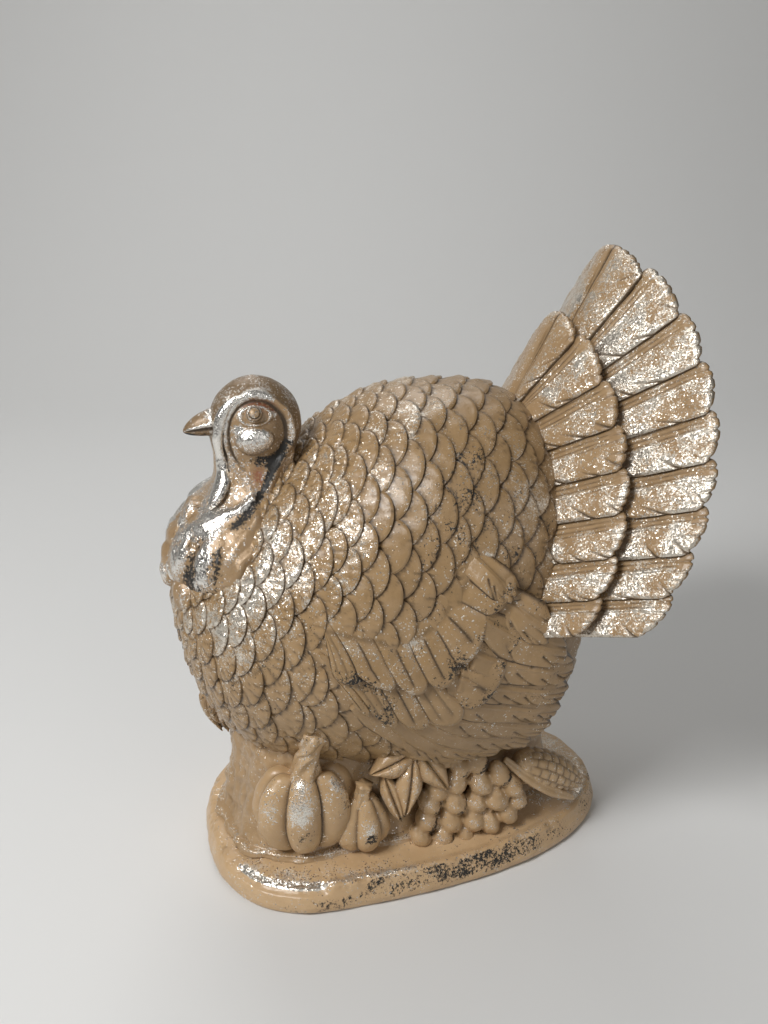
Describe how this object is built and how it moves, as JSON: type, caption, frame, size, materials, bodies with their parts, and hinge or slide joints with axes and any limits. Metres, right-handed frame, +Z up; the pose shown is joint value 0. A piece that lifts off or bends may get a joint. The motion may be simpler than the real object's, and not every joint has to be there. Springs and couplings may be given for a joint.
{
  "type": "thanksgiving turkey figure",
  "caption": "Standing display turkey figure with a raised layered tail fan, scaled body and folded wings over a heap of harvest fruit on an oval plinth, for seasonal table decoration.",
  "frame": {"origin": "on the flat underside of the plinth, on the bird's middle plane, below the middle of the body", "axes": "+Z up; the bird looks along -Y, its left side is +X and its tail fan rises at +Y"},
  "size_m": [0.2142, 0.2267, 0.2867],
  "materials": {
    "plinth_paint": "tan paint, worn silver leaf and black on the rim",
    "mound_paint": "tan paint with brown wash",
    "body_paint": "tan paint with brown wash and broken silver leaf",
    "head_leaf": "bright silver leaf with rust tint",
    "beak_leaf": "silver leaf with dark underside",
    "eye_leaf": "bright silver leaf",
    "wattle_leaf": "silver leaf with black wear",
    "beard_paint": "tan paint with black wear",
    "wing_paint": "tan paint with brown wash, silver leaf and black specks",
    "tail_leaf": "tan paint above and silver leaf below each quill",
    "pumpkin_paint": "tan paint with silver leaf and black on the lobes",
    "leaf_paint": "tan paint with brown wash",
    "grape_paint": "tan paint with black in the gaps",
    "corn_paint": "tan paint with silver leaf"
  },
  "bodies": {
    "root": {"base_plinth": "plinth_paint", "ground_mound": "mound_paint", "body": "body_paint", "head_and_neck": "head_leaf", "beak": "beak_leaf", "snood": "head_leaf", "eye_left": "eye_leaf", "eye_right": "eye_leaf", "wattle": "wattle_leaf", "beard_tuft": "beard_paint", "wing_left_covert_row_1": "wing_paint", "wing_left_covert_row_2": "wing_paint", "wing_left_flight_feathers": "wing_paint", "wing_right_covert_row_1": "wing_paint", "wing_right_covert_row_2": "wing_paint", "wing_right_flight_feathers": "wing_paint", "tail_outer_feather_middle": "tail_leaf", "tail_outer_feather_left_1": "tail_leaf", "tail_outer_feather_left_2": "tail_leaf", "tail_outer_feather_left_3": "tail_leaf", "tail_outer_feather_left_4": "tail_leaf", "tail_outer_feather_left_5": "tail_leaf", "tail_outer_feather_left_6": "tail_leaf", "tail_outer_feather_left_7": "tail_leaf", "tail_outer_feather_left_8": "tail_leaf", "tail_outer_feather_right_1": "tail_leaf", "tail_outer_feather_right_2": "tail_leaf", "tail_outer_feather_right_3": "tail_leaf", "tail_outer_feather_right_4": "tail_leaf", "tail_outer_feather_right_5": "tail_leaf", "tail_outer_feather_right_6": "tail_leaf", "tail_outer_feather_right_7": "tail_leaf", "tail_outer_feather_right_8": "tail_leaf", "tail_inner_feather_middle": "tail_leaf", "tail_inner_feather_left_1": "tail_leaf", "tail_inner_feather_left_2": "tail_leaf", "tail_inner_feather_left_3": "tail_leaf", "tail_inner_feather_left_4": "tail_leaf", "tail_inner_feather_left_5": "tail_leaf", "tail_inner_feather_left_6": "tail_leaf", "tail_inner_feather_left_7": "tail_leaf", "tail_inner_feather_right_1": "tail_leaf", "tail_inner_feather_right_2": "tail_leaf", "tail_inner_feather_right_3": "tail_leaf", "tail_inner_feather_right_4": "tail_leaf", "tail_inner_feather_right_5": "tail_leaf", "tail_inner_feather_right_6": "tail_leaf", "tail_inner_feather_right_7": "tail_leaf", "pumpkin_large_left": "pumpkin_paint", "pumpkin_small_left": "pumpkin_paint", "leaf_sprig_left": "leaf_paint", "grape_cluster_left": "grape_paint", "corn_ear_left": "corn_paint", "pumpkin_large_right": "pumpkin_paint", "pumpkin_small_right": "pumpkin_paint", "leaf_sprig_right": "leaf_paint", "grape_cluster_right": "grape_paint", "corn_ear_right": "corn_paint"}
  },
  "joints": []
}
